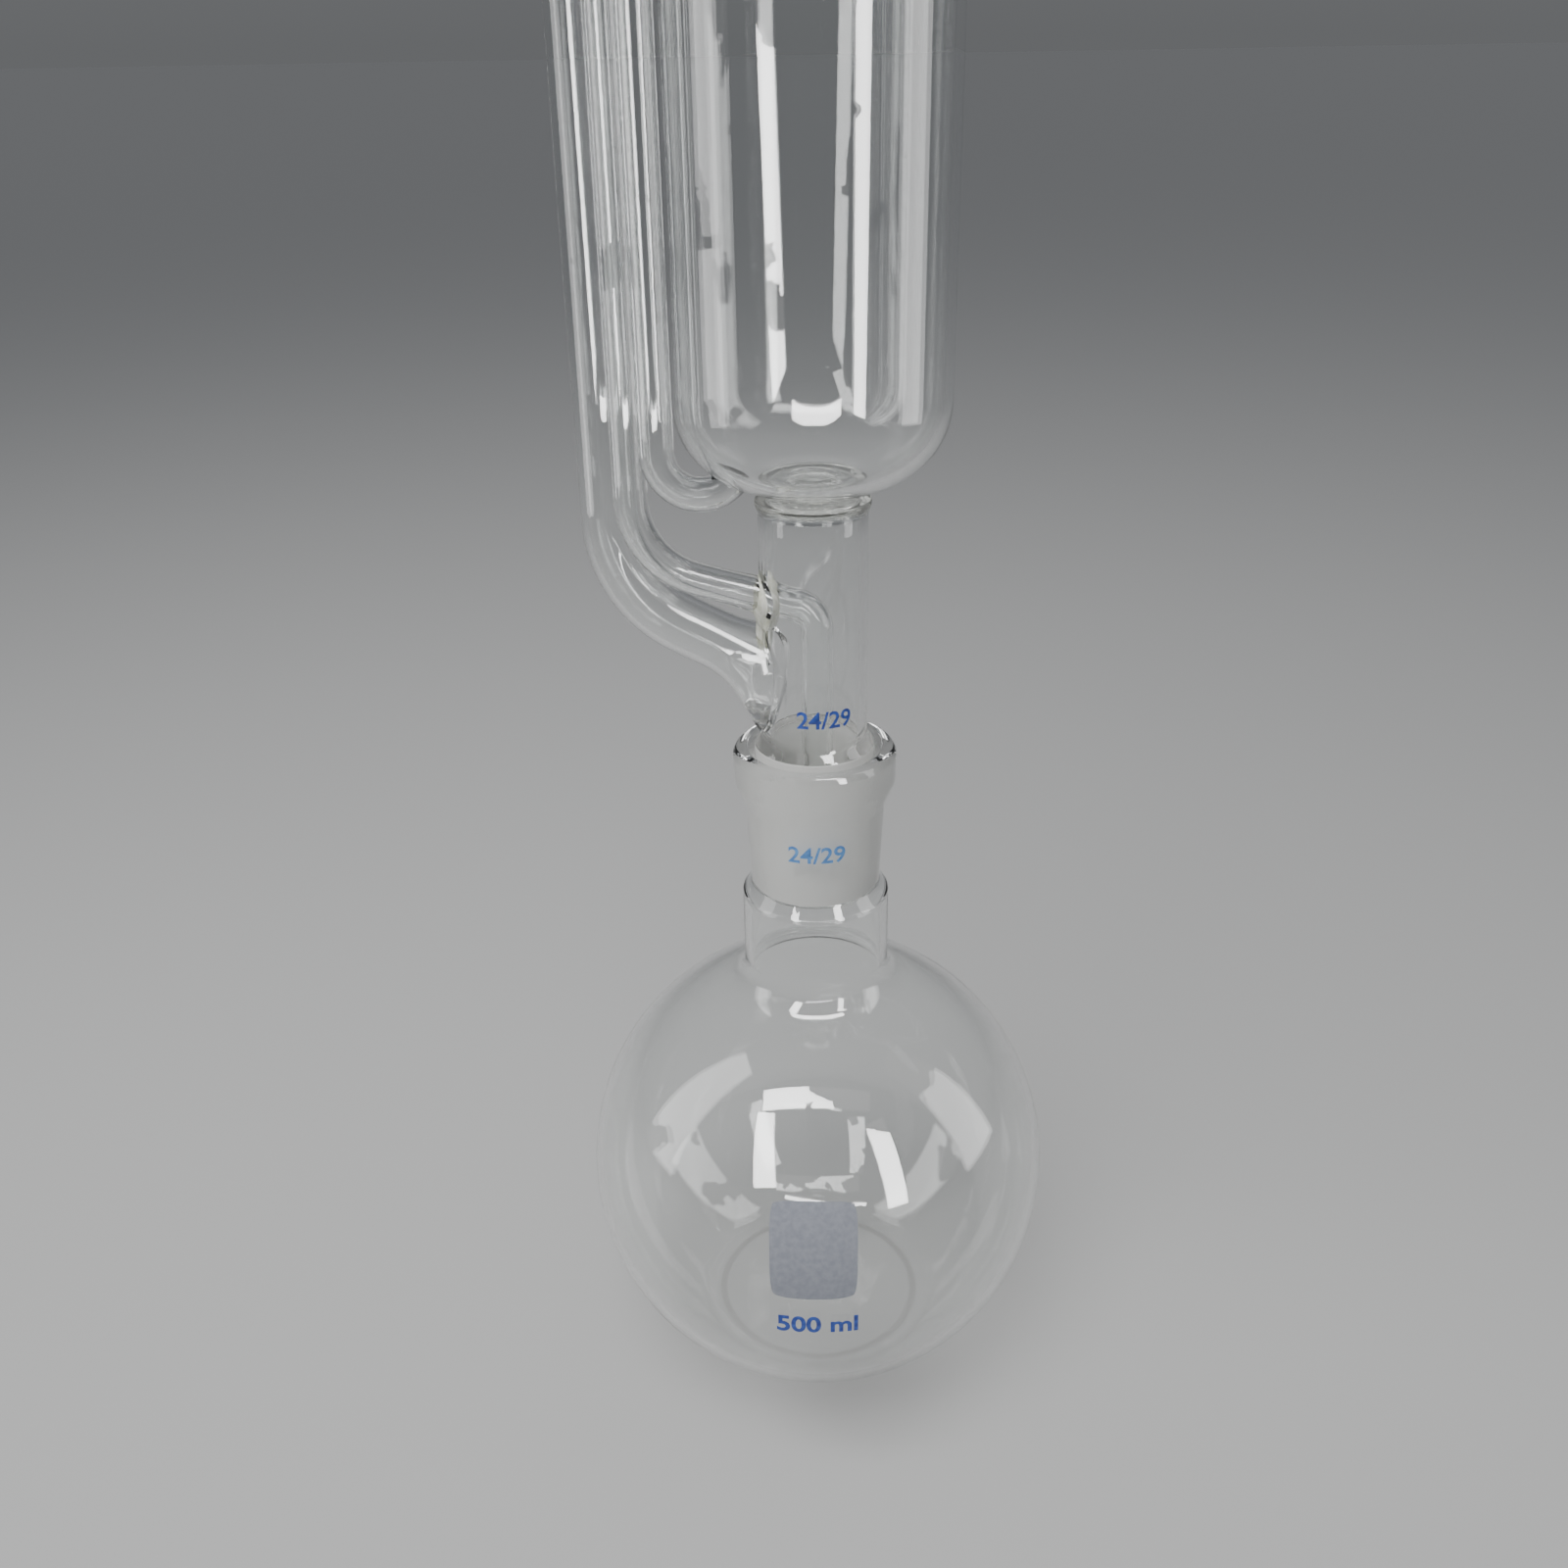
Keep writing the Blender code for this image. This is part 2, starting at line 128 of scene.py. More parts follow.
def blown_surface_group():
    """Surface of hand-worked glass: slow ripples in the normal and faint smudges in the roughness."""
    group = bpy.data.node_groups.new("blown_surface", "ShaderNodeTree")
    for label, kind, way in (("Ripple Scale", "NodeSocketFloat", "INPUT"),
                             ("Ripple Depth", "NodeSocketFloat", "INPUT"),
                             ("Clean", "NodeSocketFloat", "INPUT"),
                             ("Smudged", "NodeSocketFloat", "INPUT"),
                             ("Roughness", "NodeSocketFloat", "OUTPUT"),
                             ("Normal", "NodeSocketVector", "OUTPUT")):
        group.interface.new_socket(label, in_out=way, socket_type=kind)
    nodes, links = group.nodes, group.links
    inputs, outputs = nodes.new("NodeGroupInput"), nodes.new("NodeGroupOutput")
    place = nodes.new("ShaderNodeTexCoord")
    ripple = nodes.new("ShaderNodeTexNoise")
    ripple.inputs["Detail"].default_value = 1.5
    links.new(place.outputs["Object"], ripple.inputs["Vector"])
    links.new(inputs.outputs["Ripple Scale"], ripple.inputs["Scale"])
    bump = nodes.new("ShaderNodeBump")
    bump.inputs["Strength"].default_value = 1.0
    links.new(inputs.outputs["Ripple Depth"], bump.inputs["Distance"])
    links.new(ripple.outputs["Fac"], bump.inputs["Height"])
    smudge = nodes.new("ShaderNodeTexNoise")
    smudge.inputs["Scale"].default_value = 38.0
    smudge.inputs["Detail"].default_value = 6.0
    links.new(place.outputs["Object"], smudge.inputs["Vector"])
    spread = nodes.new("ShaderNodeMapRange")
    spread.inputs["From Min"].default_value = 0.52
    spread.inputs["From Max"].default_value = 0.80
    links.new(smudge.outputs["Fac"], spread.inputs["Value"])
    links.new(inputs.outputs["Clean"], spread.inputs["To Min"])
    links.new(inputs.outputs["Smudged"], spread.inputs["To Max"])
    links.new(spread.outputs["Result"], outputs.inputs["Roughness"])
    links.new(bump.outputs["Normal"], outputs.inputs["Normal"])
    return group


BLOWN_SURFACE = blown_surface_group()


def glass(name, tint, ripple_scale, ripple_depth, clean, smudged, transmission=1.0, shadow=0.93):
    """Glass whose shadow lets most of the light through, as a thin wall does."""
    made = bpy.data.materials.new(name)
    made.use_nodes = True
    nodes, links = made.node_tree.nodes, made.node_tree.links
    shader = nodes["Principled BSDF"]
    shader.inputs["Base Color"].default_value = (*tint, 1.0)
    shader.inputs["Metallic"].default_value = 0.0
    shader.inputs["IOR"].default_value = 1.474
    shader.inputs["Transmission Weight"].default_value = transmission
    surface = nodes.new("ShaderNodeGroup")
    surface.node_tree = BLOWN_SURFACE
    surface.inputs["Ripple Scale"].default_value = ripple_scale
    surface.inputs["Ripple Depth"].default_value = ripple_depth
    surface.inputs["Clean"].default_value = clean
    surface.inputs["Smudged"].default_value = smudged
    links.new(surface.outputs["Roughness"], shader.inputs["Roughness"])
    links.new(surface.outputs["Normal"], shader.inputs["Normal"])
    rays = nodes.new("ShaderNodeLightPath")
    through = nodes.new("ShaderNodeBsdfTransparent")
    through.inputs["Color"].default_value = (shadow, shadow, shadow, 1.0)
    mix = nodes.new("ShaderNodeMixShader")
    links.new(rays.outputs["Is Shadow Ray"], mix.inputs["Fac"])
    links.new(shader.outputs["BSDF"], mix.inputs[1])
    links.new(through.outputs["BSDF"], mix.inputs[2])
    links.new(mix.outputs["Shader"], nodes["Material Output"].inputs["Surface"])
    return made


CLEAR = glass("clear_borosilicate", (0.988, 0.995, 0.992), 30.0, 0.00002, 0.0, 0.03)


def ground_surface_group():
    """Ground glass: a fine grain in the normal and cloudy patches in colour and roughness."""
    group = bpy.data.node_groups.new("ground_surface", "ShaderNodeTree")
    for label, kind, way in (("Grain Depth", "NodeSocketFloat", "INPUT"),
                             ("Light", "NodeSocketColor", "INPUT"),
                             ("Dark", "NodeSocketColor", "INPUT"),
                             ("Colour", "NodeSocketColor", "OUTPUT"),
                             ("Roughness", "NodeSocketFloat", "OUTPUT"),
                             ("Normal", "NodeSocketVector", "OUTPUT")):
        group.interface.new_socket(label, in_out=way, socket_type=kind)
    nodes, links = group.nodes, group.links
    inputs, outputs = nodes.new("NodeGroupInput"), nodes.new("NodeGroupOutput")
    place = nodes.new("ShaderNodeTexCoord")
    grain = nodes.new("ShaderNodeTexNoise")
    grain.inputs["Scale"].default_value = 2600.0
    grain.inputs["Detail"].default_value = 2.0
    cloud = nodes.new("ShaderNodeTexNoise")
    cloud.inputs["Scale"].default_value = 140.0
    cloud.inputs["Detail"].default_value = 5.0
    for noise in (grain, cloud):
        links.new(place.outputs["Object"], noise.inputs["Vector"])
    bump = nodes.new("ShaderNodeBump")
    bump.inputs["Strength"].default_value = 0.6
    links.new(inputs.outputs["Grain Depth"], bump.inputs["Distance"])
    links.new(grain.outputs["Fac"], bump.inputs["Height"])
    tone = nodes.new("ShaderNodeMix")
    tone.data_type = "RGBA"
    links.new(cloud.outputs["Fac"], tone.inputs["Factor"])
    links.new(inputs.outputs["Dark"], tone.inputs[6])
    links.new(inputs.outputs["Light"], tone.inputs[7])
    rough = nodes.new("ShaderNodeMapRange")
    rough.inputs["To Min"].default_value = 0.42
    rough.inputs["To Max"].default_value = 0.62
    links.new(cloud.outputs["Fac"], rough.inputs["Value"])
    links.new(tone.outputs[2], outputs.inputs["Colour"])
    links.new(rough.outputs["Result"], outputs.inputs["Roughness"])
    links.new(bump.outputs["Normal"], outputs.inputs["Normal"])
    return group


def ground_glass():
    """The milky white of a ground joint, which lets only some light through."""
    made = bpy.data.materials.new("ground_joint")
    made.use_nodes = True
    nodes, links = made.node_tree.nodes, made.node_tree.links
    shader = nodes["Principled BSDF"]
    shader.inputs["Metallic"].default_value = 0.0
    shader.inputs["IOR"].default_value = 1.474
    shader.inputs["Transmission Weight"].default_value = 0.30
    surface = nodes.new("ShaderNodeGroup")
    surface.node_tree = ground_surface_group()
    surface.inputs["Grain Depth"].default_value = 0.00006
    surface.inputs["Light"].default_value = (0.99, 0.99, 0.965, 1.0)
    surface.inputs["Dark"].default_value = (0.93, 0.93, 0.90, 1.0)
    links.new(surface.outputs["Colour"], shader.inputs["Base Color"])
    links.new(surface.outputs["Roughness"], shader.inputs["Roughness"])
    links.new(surface.outputs["Normal"], shader.inputs["Normal"])
    return made


GROUND = ground_glass()


def dress(piece, body, slot, materials, *nodes):
    """Give a piece its materials and its body, and hide the CAD nodes it stands for. The slot, the name
    of its finish, is not used.
    """
    for finish in materials:
        piece.data.materials.append(finish)
    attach(piece, body)
    if nodes:
        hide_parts(*nodes)
    return piece


def paint(piece, index, inside, lowest, highest, nearest, furthest):
    """Give one stretch's faces, towards the axis or away from it, another of the piece's materials."""
    for face in piece.data.polygons:
        across = Vector((face.center.x, face.center.y))
        faces_axis = face.normal.x * across.x + face.normal.y * across.y < 0
        if (faces_axis == inside and lowest < face.center.z < highest
                and nearest < across.length < furthest):
            face.material_index = index


TAPER = 0.05              # loss of radius along a standard ground joint
GROUND_FACE = 1           # places in a glass body's list of materials
WORKED_FACE = 2
CREAM_FACE = 3


def socket_corners(rim, bore, length, wall, neck, neck_wall, bead_radius, bead_height):
    """Corners of a ground socket: up its outside from the neck, over the bead and down its bore."""
    small = bore - TAPER * length
    bottom = rim - length
    return [
        (neck, bottom - 0.0012, 0.0012),
        (small + wall, bottom + 0.0014, 0.0012),
        (bore + wall - TAPER * bead_height * 1.2, rim - bead_height * 1.2, 0.0024),
        (bead_radius - 0.0002, rim - bead_height * 0.72, 0.0030),
        (bead_radius, rim - 0.0016, 0.0012),
        (bead_radius - 0.0008, rim, 0.0016),
        (bore + 0.0016, rim, 0.0012),
        (bore, rim - 0.0012, 0.0014),
        (small, bottom - 0.0002, 0.0010),
        (neck - neck_wall, bottom - 0.0022, 0.0012),
    ]


def plain(points):
    """Corners that keep their sharp point, as along an arc."""
    return [(x, z, 0.0) for x, z in points]


low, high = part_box("flask_bulb")
BULB_RADIUS = (high.x - low.x) / 2 * 1.0015
BULB_WALL = 0.0017
BULB_Z = 0.0440
BASE_WALL = 0.0022
FOOT_FILLET = 0.0080
HEEL_FILLET = 0.0070
NECK_RADIUS = 0.0155
NECK_WALL = 0.0017
NECK_FLARE = 0.0070
low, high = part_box("flask_socket")
RIM = high.z - 0.0004
SMALL_BORE = 0.0123
SMALL_LENGTH = 0.0322
SMALL_WALL = 0.0028
SMALL_BEAD = 0.0104


def flask_outline():
    """Up the outside from the middle of the base, round the socket and down the inside."""
    foot = math.sqrt((BULB_RADIUS - FOOT_FILLET) ** 2 - (BULB_Z - FOOT_FILLET) ** 2)
    foot_angle = math.degrees(math.atan2(FOOT_FILLET - BULB_Z, foot))
    crown = math.sqrt((BULB_RADIUS + NECK_FLARE) ** 2 - (NECK_RADIUS + NECK_FLARE) ** 2)
    crown_angle = math.degrees(math.atan2(crown, NECK_RADIUS + NECK_FLARE))
    outer = [(0.0, 0.0003), (foot * 0.5, 0.00022), (foot * 0.93, 0.0)]
    outer += sweep((foot, FOOT_FILLET), FOOT_FILLET, -90, foot_angle, 6)
    outer += sweep((0, BULB_Z), BULB_RADIUS, foot_angle, crown_angle, 2.5)[1:]
    flare_centre = (NECK_RADIUS + NECK_FLARE, BULB_Z + crown)
    outer += sweep(flare_centre, NECK_FLARE, 180 + crown_angle, 180, 8)[1:]
    bend = sweep(flare_centre, NECK_FLARE + NECK_WALL, 180, 180 + crown_angle, 8)
    inside = BULB_RADIUS - BULB_WALL
    heel_z = BASE_WALL + HEEL_FILLET
    heel_x = math.sqrt((inside - HEEL_FILLET) ** 2 - (BULB_Z - heel_z) ** 2)
    heel_angle = math.degrees(math.atan2(heel_z - BULB_Z, heel_x))
    inner = bend + sweep((0, BULB_Z), inside, crown_angle, heel_angle, 2.5)[1:]
    inner += sweep((heel_x, heel_z), HEEL_FILLET, heel_angle, -90, 6)[1:]
    inner += [(heel_x * 0.5, BASE_WALL + 0.00015), (0.0, BASE_WALL + 0.00025)]
    rim_corners = socket_corners(RIM, SMALL_BORE, SMALL_LENGTH, SMALL_WALL, NECK_RADIUS, NECK_WALL,
                                 high.x, SMALL_BEAD)
    return soften(plain(outer) + rim_corners + plain(inner), step=10)


flask = lathe("flask_glass", flask_outline(), steps=144)
dress(flask, "flask", "clear_glass", [CLEAR, GROUND], "flask_bulb", "flask_neck", "flask_socket")
paint(flask, GROUND_FACE, True, RIM - SMALL_LENGTH + 0.0002, RIM - 0.0020, 0.0, SMALL_BORE + 0.0006)

# --- Extractor body ----------------------------------------------------------------------------
# A thick-walled stem drawn out at its foot to the 24/29 cone and closed at its top by a disc of
# glass. A short plug on the disc carries the blown chamber, which ends in the 45/40 socket.
STEM_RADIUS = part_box("vapour_stem")[1].x
STEM_WALL = 0.0017
CONE_RADIUS = SMALL_BORE - 0.00005
low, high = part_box("stem_seal")
SEAL_RADIUS = high.x
SEAL_FOOT = low.z
PLUG_RADIUS = 0.0044
low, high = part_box("extraction_chamber")
CHAMBER_RADIUS = high.x
CHAMBER_WALL = 0.0018
CHAMBER_FLOOR = low.z
CHAMBER_TOP = high.z
DOME_HEIGHT = 0.0185
DOME_FULLNESS = 2.35      # 2 would be an ellipse
LENS_RADIUS = 0.0125
LENS_SWELL = 0.0014
low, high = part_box("chamber_socket")
WIDE_RIM = high.z - 0.0004
WIDE_BORE = 0.0228
WIDE_LENGTH = 0.0400
WIDE_WALL = 0.0025
WIDE_BEAD = high.x
WIDE_BEAD_HEIGHT = 0.0098
ROW = 0.0038              # height of the stem's rows of faces round the ports


def dome(radius, height, start=0.0, lens=0.0, steps=26):
    """The bowl's profile from its middle out: fuller than an ellipse, and thickened by a lens."""
    points = []
    for k in range(steps + 1):
        angle = math.pi / 2 * k / steps
        across = radius * math.sin(angle) ** (2 / DOME_FULLNESS)
        down = height * max(math.cos(angle), 0.0) ** (2 / DOME_FULLNESS)
        swell = lens * max(0.0, 1.0 - (across / LENS_RADIUS) ** 2) ** 2
        if across >= start:
            points.append((across, CHAMBER_FLOOR + DOME_HEIGHT - down + swell))
    return points


def extractor_outline():
    """Up the outside from the cone's foot to the rim, down the chamber, and down inside the stem."""
    small = CONE_RADIUS - TAPER * SMALL_LENGTH
    foot = RIM - SMALL_LENGTH - 0.0010
    bore = STEM_RADIUS - STEM_WALL
    top = SEAL_FOOT - 0.0002
    outer = [
        (small - 0.0004, foot, 0.0006), (small, foot + 0.0008, 0.0008),
        (CONE_RADIUS, RIM + 0.0006, 0.0012), (STEM_RADIUS, RIM + 0.0026, 0.0014)]
    outer += [(STEM_RADIUS, RIM + 0.0060 + ROW * k, 0.0) for k in range(11)]
    outer += [
        (STEM_RADIUS, top - 0.0012, 0.0006), (SEAL_RADIUS + 0.0002, SEAL_FOOT, 0.0004),
        (SEAL_RADIUS + 0.0002, SEAL_FOOT + 0.0012, 0.0005), (PLUG_RADIUS, SEAL_FOOT + 0.0015, 0.0006),
        (PLUG_RADIUS + 0.0001, CHAMBER_FLOOR + 0.0003, 0.0003)]
    outer += plain(dome(CHAMBER_RADIUS, DOME_HEIGHT, start=PLUG_RADIUS + 0.0008))
    tall = [CHAMBER_FLOOR + DOME_HEIGHT + 0.012 * k for k in range(1, 14)]
    outer += [(CHAMBER_RADIUS, z, 0.0) for z in tall]
    rim_corners = socket_corners(WIDE_RIM, WIDE_BORE, WIDE_LENGTH, WIDE_WALL, CHAMBER_RADIUS,
                                 CHAMBER_WALL, WIDE_BEAD, WIDE_BEAD_HEIGHT)
    inside = CHAMBER_RADIUS - CHAMBER_WALL
    inner = [(inside, z, 0.0) for z in reversed(tall)]
    inner += plain(dome(inside, DOME_HEIGHT - CHAMBER_WALL, lens=LENS_SWELL)[::-1])
    hollow = [
        (0.0, top + 0.0002, 0.0), (bore * 0.5, top + 0.0002, 0.0), (bore, top + 0.0001, 0.0010)]
    hollow += [(bore, RIM + 0.0440 - ROW * k, 0.0) for k in range(11)]
    hollow += [
        (bore, RIM + 0.0010, 0.0030), (small - STEM_WALL, RIM - SMALL_LENGTH * 0.75, 0.0040),
        (small - STEM_WALL, foot, 0.0006)]
    return soften(outer + rim_corners + inner + hollow, step=10)


WORKED = glass("worked_glass", (0.955, 0.965, 0.895), 300.0, 0.00030, 0.03, 0.20, transmission=0.9)
extractor = lathe("extractor_glass", extractor_outline(), steps=144)
dress(extractor, "extractor", "clear_glass", [CLEAR, GROUND, WORKED],
      "extractor_cone", "vapour_stem", "stem_seal", "extraction_chamber", "chamber_socket",
      "vapour_tube", "siphon_riser", "siphon_down_leg", "drip_tube")

# --- Vapour tube -------------------------------------------------------------------------------
# A 12 mm tube bent round at both ends, which takes the vapour past the chamber. Each end is
# flared and fused on to the wall round its port, and the lower weld has sagged.


def as_vector(distance, bearing, height):
    """A place given by its distance from the axis, its bearing in degrees and its height."""
    angle = math.radians(bearing)
    return Vector((distance * math.cos(angle), distance * math.sin(angle), height))


def rod(name, start, end, radius, sides=64):
    """A plain round rod to cut with."""
    deselect_all()
    bpy.ops.mesh.primitive_cylinder_add(vertices=sides, radius=radius, depth=(end - start).length,
                                        location=(start + end) / 2,
                                        rotation=(end - start).to_track_quat("Z", "Y").to_euler())
    bpy.context.object.name = name
    return bpy.context.object


def work(piece, tool, operation="DIFFERENCE"):
    """Cut a tool's shape out of a piece, or fuse it on, and throw the tool away."""
    deselect_all()
    piece.select_set(True)
    bpy.context.view_layer.objects.active = piece
    modifier = piece.modifiers.new("work", "BOOLEAN")
    modifier.operation = operation
    modifier.solver = "EXACT"
    modifier.object = tool
    bpy.ops.object.modifier_apply(modifier=modifier.name)
    bpy.data.objects.remove(tool, do_unlink=True)


def bend_route(corners, radii, step=6):
    """A smooth route: each inner corner becomes an arc of the given radius."""
    route = [corners[0]]
    for before, corner, after, radius in zip(corners, corners[1:], corners[2:], radii):
        arrive, leave = (corner - before).normalized(), (after - corner).normalized()
        turn = arrive.angle(leave)
        centre = corner + (leave - arrive).normalized() * radius / math.cos(turn / 2)
        start = corner - arrive * radius * math.tan(turn / 2)
        axis = arrive.cross(leave).normalized()
        count = max(3, round(math.degrees(turn) / step))
        for k in range(count + 1):
            route.append(centre + Matrix.Rotation(turn * k / count, 3, axis) @ (start - centre))
    return route + [corners[-1]]


def fill_in(route, spacing):
    """Add points so that no stretch of a route is longer than the spacing."""
    full = [route[0]]
    for before, after in zip(route, route[1:]):
        count = max(1, math.ceil((after - before).length / spacing))
        full += [before.lerp(after, k / count) for k in range(1, count + 1)]
    return full


def flared(route, flares):
    """Width at each point of a route, as a share: up to a flare's width within reach of its place."""
    widths = []
    for point in route:
        width = 1.0
        for place, most, reach in flares:
            near = max(0.0, 1.0 - (point - place).length / reach)
            width = max(width, 1.0 + (most - 1.0) * near * near)
        widths.append(width)
    return widths


def solid_tube(name, route, radius, widths, sides=10):
    """A closed rod drawn along a route."""
    deselect_all()
    bpy.ops.curve.primitive_nurbs_path_add()
    piece = bpy.context.object
    piece.name = piece.data.name = name
    piece.location = (0, 0, 0)
    piece.data.splines.clear()
    spline = piece.data.splines.new("POLY")
    spline.points.add(len(route) - 1)
    for point, place, width in zip(spline.points, route, widths):
        point.co = (*place, 1.0)
        point.radius = width
    piece.data.bevel_depth = radius
    piece.data.bevel_resolution = sides
    piece.data.use_fill_caps = True
    bpy.ops.object.convert(target="MESH")
    piece = bpy.context.object
    bpy.ops.object.mode_set(mode="EDIT")
    bpy.ops.mesh.select_all(action="SELECT")
    bpy.ops.mesh.remove_doubles(threshold=0.000002)
    bpy.ops.mesh.normals_make_consistent(inside=False)
    bpy.ops.object.mode_set(mode="OBJECT")
    return piece


VAPOUR_BORE = 0.0048
VAPOUR_BEARING = 171.0
VAPOUR_TURNS = (0.0230, 0.0095)
STEM_WELD = 0.0130        # how far up the tube each weld's flare reaches
CHAMBER_WELD = 0.0060
SAG_REACH = 0.011
low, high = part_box("vapour_tube")
VAPOUR_RADIUS = 0.0060
VAPOUR_REACH = -(low.x + VAPOUR_RADIUS) / math.cos(math.radians(180 - VAPOUR_BEARING))
VAPOUR_TOP = high.z - VAPOUR_RADIUS
VAPOUR_ENTRY = 0.1660
stem_bore = STEM_RADIUS - STEM_WALL
chamber_bore = CHAMBER_RADIUS - CHAMBER_WALL
slope_foot = as_vector(STEM_RADIUS - 0.0055, VAPOUR_BEARING, VAPOUR_ENTRY - 0.0027)
slope_head = as_vector(VAPOUR_REACH, VAPOUR_BEARING, VAPOUR_ENTRY + 0.0130)
elbow = as_vector(VAPOUR_REACH, VAPOUR_BEARING, VAPOUR_TOP)
chamber_side = as_vector(CHAMBER_RADIUS - 0.005, VAPOUR_BEARING, VAPOUR_TOP)
route = fill_in(bend_route([slope_foot, slope_head, elbow, chamber_side], VAPOUR_TURNS), 0.0015)
slope = (slope_head - slope_foot).normalized()
stem_face = slope_foot + slope * 0.0061
chamber_face = as_vector(CHAMBER_RADIUS, VAPOUR_BEARING, VAPOUR_TOP)


def sag(tube, amount):
    """Let the lower side of the tube run down the stem's wall, as a soft weld does."""
    for vertex in tube.data.vertices:
        along = math.hypot(vertex.co.x, vertex.co.y)
        near = min(1.0, max(0.0, (STEM_RADIUS + SAG_REACH - along) / SAG_REACH))
        middle = stem_face.z + (along - STEM_RADIUS) * slope.z / math.hypot(slope.x, slope.y)
        if vertex.co.z < middle:
            vertex.co.z = middle + (vertex.co.z - middle) * (1.0 + amount * near ** 2.4)


outside = solid_tube("vapour_tube_outside", route, VAPOUR_RADIUS,
                     flared(route, ((stem_face - slope * 0.0025, 1.42, STEM_WELD),
                                    (chamber_face, 1.30, CHAMBER_WELD))), sides=14)
sag(outside, 0.80)
work(outside, rod("stem_hollow", Vector((0, 0, 0.14)), Vector((0, 0, 0.20)), stem_bore, 144))
work(outside, rod("chamber_hollow", Vector((0, 0, 0.33)), Vector((0, 0, 0.38)), chamber_bore, 144))
work(extractor, outside, "UNION")
hollow = solid_tube("vapour_tube_bore", route, VAPOUR_BORE,
                    flared(route, ((stem_face, 1.38, 0.0110), (chamber_face, 1.15, 0.0050))), sides=14)
sag(hollow, 0.85)
work(extractor, hollow)

# --- Siphon ------------------------------------------------------------------------------------
# A 6.5 mm tube that leaves the bottom of the chamber, climbs beside it to the crown and comes
# down to the stem, where knots of reworked glass seal it through the wall. It ends as a drip tube.


def creamy():
    """Thick reworked glass: squiggles of trapped air make it cream and milky."""
    made = bpy.data.materials.new("weld_knot")
    made.use_nodes = True
    nodes, links = made.node_tree.nodes, made.node_tree.links
    shader = nodes["Principled BSDF"]
    shader.inputs["Metallic"].default_value = 0.0
    shader.inputs["IOR"].default_value = 1.474
    shader.inputs["Transmission Weight"].default_value = 0.12
    place = nodes.new("ShaderNodeTexCoord")
    pull = nodes.new("ShaderNodeMapping")
    pull.inputs["Scale"].default_value = (1.0, 1.0, 0.35)
    squiggle = nodes.new("ShaderNodeTexNoise")
    squiggle.inputs["Scale"].default_value = 620.0
    squiggle.inputs["Detail"].default_value = 3.0
    squiggle.inputs["Distortion"].default_value = 1.4
    links.new(place.outputs["Object"], pull.inputs["Vector"])
    links.new(pull.outputs["Vector"], squiggle.inputs["Vector"])
    tone = nodes.new("ShaderNodeValToRGB")
    tone.color_ramp.elements[0].position = 0.38
    tone.color_ramp.elements[0].color = (0.72, 0.73, 0.60, 1.0)
    tone.color_ramp.elements[1].position = 0.60
    tone.color_ramp.elements[1].color = (1.0, 1.0, 0.92, 1.0)
    links.new(squiggle.outputs["Fac"], tone.inputs["Fac"])
    links.new(tone.outputs["Color"], shader.inputs["Base Color"])
    rough = nodes.new("ShaderNodeMapRange")
    rough.inputs["To Min"].default_value = 0.05
    rough.inputs["To Max"].default_value = 0.40
    links.new(squiggle.outputs["Fac"], rough.inputs["Value"])
    links.new(rough.outputs["Result"], shader.inputs["Roughness"])
    bump = nodes.new("ShaderNodeBump")
    bump.inputs["Strength"].default_value = 0.7
    bump.inputs["Distance"].default_value = 0.0004
    links.new(squiggle.outputs["Fac"], bump.inputs["Height"])
    links.new(bump.outputs["Normal"], shader.inputs["Normal"])
    return made


CREAM = creamy()


def knot(name, place, size, seed):
    """A lump of glass about a place: a ball, stretched and made uneven."""
    deselect_all()
    bpy.ops.mesh.primitive_uv_sphere_add(segments=48, ring_count=28, radius=1.0)
    piece = bpy.context.object
    piece.name = piece.data.name = name
    for vertex in piece.data.vertices:
        turn, rise = math.atan2(vertex.co.y, vertex.co.x), math.asin(max(-1.0, min(1.0, vertex.co.z)))
        lump = (1.0 + 0.05 * math.sin(3 * turn + seed) * math.cos(rise) + 0.04 * math.sin(5 * rise + seed)
                + 0.03 * math.sin(6 * turn + 4 * rise))
        vertex.co = Vector((vertex.co.x * size[0], vertex.co.y * size[1], vertex.co.z * size[2])) * lump
    piece.data.transform(Matrix.Translation(place) @ Matrix.Rotation(math.radians(DOWN_BEARING), 4, "Z"))
    for finish in (CLEAR, GROUND, WORKED, CREAM):
        piece.data.materials.append(finish)
    for face in piece.data.polygons:
        face.material_index = CREAM_FACE
    return piece


extractor.data.materials.append(CREAM)
SIPHON_RADIUS = 0.00325
SIPHON_WALL = 0.0010
SIPHON_ENTRY = 0.1805
BOWL_BEARING = 200.0
RISER_BEARING = 199.5
DOWN_BEARING = 186.0
low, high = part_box("siphon_riser")
RISER_REACH = -(low.x + SIPHON_RADIUS) / math.cos(math.radians(RISER_BEARING - 180))
SIPHON_FOOT = low.z + SIPHON_RADIUS
low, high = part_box("siphon_down_leg")
DOWN_REACH = -(low.x + SIPHON_RADIUS) / math.cos(math.radians(DOWN_BEARING - 180))
crown = high.z - SIPHON_RADIUS
riser_start = as_vector(0.0135, BOWL_BEARING, SIPHON_FOOT + 0.0060)
riser_turn = as_vector(0.0178, BOWL_BEARING, SIPHON_FOOT)
riser_foot = as_vector(RISER_REACH, RISER_BEARING, SIPHON_FOOT)
over_riser = as_vector(RISER_REACH, RISER_BEARING, crown)
over_down = as_vector(DOWN_REACH, DOWN_BEARING, crown)
siphon_head = as_vector(DOWN_REACH, DOWN_BEARING, SIPHON_ENTRY + 0.0075)
siphon_foot = as_vector(STEM_RADIUS, DOWN_BEARING, SIPHON_ENTRY)
along = (siphon_head - siphon_foot).normalized()
drip_top = siphon_foot - along * (STEM_RADIUS + 0.0006) / math.hypot(along.x, along.y)
